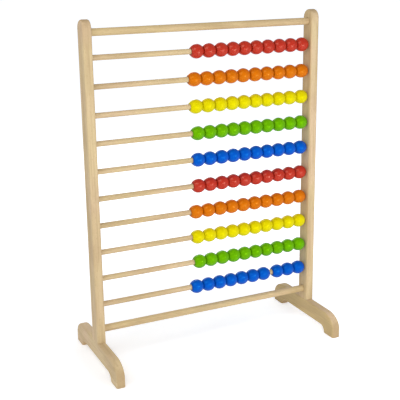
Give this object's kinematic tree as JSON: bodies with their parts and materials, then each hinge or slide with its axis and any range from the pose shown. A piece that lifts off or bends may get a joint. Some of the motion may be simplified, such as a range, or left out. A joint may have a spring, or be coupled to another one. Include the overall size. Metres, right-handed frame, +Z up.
{
  "type": "abacus",
  "caption": "Free-standing wooden counting frame with rows of coloured beads that slide sideways on rods between two footed posts.",
  "frame": {"origin": "on the floor, midway between the posts and midway between the front and back of the feet", "axes": "+Z up, +X to the right as seen from the front, along the rods, -Y towards the front"},
  "size_m": [0.558, 0.273, 0.7545],
  "materials": {
    "beech": "fine-sanded beech with a thin matt clear lacquer",
    "steel": "bright zinc-plated countersunk screw",
    "red_paint": "turned wood with a satin red paint",
    "orange_paint": "turned wood with a satin orange paint",
    "yellow_paint": "turned wood with a satin yellow paint",
    "green_paint": "turned wood with a satin green paint",
    "blue_paint": "turned wood with a satin blue paint"
  },
  "bodies": {
    "frame": {"left_post": "beech", "right_post": "beech", "left_foot": "beech", "right_foot": "beech", "top_rail": "beech", "bottom_rail": "beech", "left_front_screw": "steel", "left_back_screw": "steel", "right_front_screw": "steel", "right_back_screw": "steel", "rod_01": "beech", "rod_02": "beech", "rod_03": "beech", "rod_04": "beech", "rod_05": "beech", "rod_06": "beech", "rod_07": "beech", "rod_08": "beech", "rod_09": "beech", "rod_10": "beech"},
    "row_01_left_beads": {"row_01_beads_1_to_2": "red_paint", "row_01_beads_3_to_5": "red_paint"},
    "row_01_right_beads": {"row_01_beads_6_to_7": "red_paint", "row_01_beads_8_to_10": "red_paint"},
    "row_02_left_beads": {"row_02_beads_1_to_2": "orange_paint", "row_02_beads_3_to_5": "orange_paint"},
    "row_02_right_beads": {"row_02_beads_6_to_7": "orange_paint", "row_02_beads_8_to_10": "orange_paint"},
    "row_03_left_beads": {"row_03_beads_1_to_2": "yellow_paint", "row_03_beads_3_to_5": "yellow_paint"},
    "row_03_right_beads": {"row_03_beads_6_to_7": "yellow_paint", "row_03_beads_8_to_10": "yellow_paint"},
    "row_04_left_beads": {"row_04_beads_1_to_2": "green_paint", "row_04_beads_3_to_5": "green_paint"},
    "row_04_right_beads": {"row_04_beads_6_to_7": "green_paint", "row_04_beads_8_to_10": "green_paint"},
    "row_05_left_beads": {"row_05_beads_1_to_2": "blue_paint", "row_05_beads_3_to_5": "blue_paint"},
    "row_05_right_beads": {"row_05_beads_6_to_7": "blue_paint", "row_05_beads_8_to_10": "blue_paint"},
    "row_06_left_beads": {"row_06_beads_1_to_2": "red_paint", "row_06_beads_3_to_5": "red_paint"},
    "row_06_right_beads": {"row_06_beads_6_to_7": "red_paint", "row_06_beads_8_to_10": "red_paint"},
    "row_07_left_beads": {"row_07_beads_1_to_2": "orange_paint", "row_07_beads_3_to_5": "orange_paint"},
    "row_07_right_beads": {"row_07_beads_6_to_7": "orange_paint", "row_07_beads_8_to_10": "orange_paint"},
    "row_08_left_beads": {"row_08_beads_1_to_2": "yellow_paint", "row_08_beads_3_to_5": "yellow_paint"},
    "row_08_right_beads": {"row_08_beads_6_to_7": "yellow_paint", "row_08_beads_8_to_10": "yellow_paint"},
    "row_09_left_beads": {"row_09_beads_1_to_2": "green_paint", "row_09_beads_3_to_5": "green_paint"},
    "row_09_right_beads": {"row_09_beads_6_to_7": "green_paint", "row_09_beads_8_to_10": "green_paint"},
    "row_10_left_beads": {"row_10_beads_1_to_2": "blue_paint", "row_10_beads_3_to_5": "blue_paint", "row_10_beads_6_to_7": "blue_paint"},
    "row_10_right_beads": {"row_10_beads_8_to_10": "blue_paint"}
  },
  "joints": [
    {"name": "row_01_right_slide", "type": "slide", "parent": "frame", "child": "row_01_right_beads", "axis": [-1, 0, 0], "range_m": [0, 0.2234]},
    {"name": "row_01_left_slide", "type": "slide", "parent": "row_01_right_beads", "child": "row_01_left_beads", "axis": [1, 0, 0], "range_m": [-0.2234, 0]},
    {"name": "row_02_right_slide", "type": "slide", "parent": "frame", "child": "row_02_right_beads", "axis": [-1, 0, 0], "range_m": [0, 0.2164]},
    {"name": "row_02_left_slide", "type": "slide", "parent": "row_02_right_beads", "child": "row_02_left_beads", "axis": [1, 0, 0], "range_m": [-0.2164, 0]},
    {"name": "row_03_right_slide", "type": "slide", "parent": "frame", "child": "row_03_right_beads", "axis": [-1, 0, 0], "range_m": [0, 0.2194]},
    {"name": "row_03_left_slide", "type": "slide", "parent": "row_03_right_beads", "child": "row_03_left_beads", "axis": [1, 0, 0], "range_m": [-0.2194, 0]},
    {"name": "row_04_right_slide", "type": "slide", "parent": "frame", "child": "row_04_right_beads", "axis": [-1, 0, 0], "range_m": [0, 0.2234]},
    {"name": "row_04_left_slide", "type": "slide", "parent": "row_04_right_beads", "child": "row_04_left_beads", "axis": [1, 0, 0], "range_m": [-0.2234, 0]},
    {"name": "row_05_right_slide", "type": "slide", "parent": "frame", "child": "row_05_right_beads", "axis": [-1, 0, 0], "range_m": [0, 0.2234]},
    {"name": "row_05_left_slide", "type": "slide", "parent": "row_05_right_beads", "child": "row_05_left_beads", "axis": [1, 0, 0], "range_m": [-0.2234, 0]},
    {"name": "row_06_right_slide", "type": "slide", "parent": "frame", "child": "row_06_right_beads", "axis": [-1, 0, 0], "range_m": [0, 0.2234]},
    {"name": "row_06_left_slide", "type": "slide", "parent": "row_06_right_beads", "child": "row_06_left_beads", "axis": [1, 0, 0], "range_m": [-0.2234, 0]},
    {"name": "row_07_right_slide", "type": "slide", "parent": "frame", "child": "row_07_right_beads", "axis": [-1, 0, 0], "range_m": [0, 0.2164]},
    {"name": "row_07_left_slide", "type": "slide", "parent": "row_07_right_beads", "child": "row_07_left_beads", "axis": [1, 0, 0], "range_m": [-0.2164, 0]},
    {"name": "row_08_right_slide", "type": "slide", "parent": "frame", "child": "row_08_right_beads", "axis": [-1, 0, 0], "range_m": [0, 0.2194]},
    {"name": "row_08_left_slide", "type": "slide", "parent": "row_08_right_beads", "child": "row_08_left_beads", "axis": [1, 0, 0], "range_m": [-0.2194, 0]},
    {"name": "row_09_right_slide", "type": "slide", "parent": "frame", "child": "row_09_right_beads", "axis": [-1, 0, 0], "range_m": [0, 0.2234]},
    {"name": "row_09_left_slide", "type": "slide", "parent": "row_09_right_beads", "child": "row_09_left_beads", "axis": [1, 0, 0], "range_m": [-0.2234, 0]},
    {"name": "row_10_right_slide", "type": "slide", "parent": "frame", "child": "row_10_right_beads", "axis": [-1, 0, 0], "range_m": [0, 0.2157]},
    {"name": "row_10_left_slide", "type": "slide", "parent": "row_10_right_beads", "child": "row_10_left_beads", "axis": [1, 0, 0], "range_m": [-0.2157, 0.0077]}
  ]
}
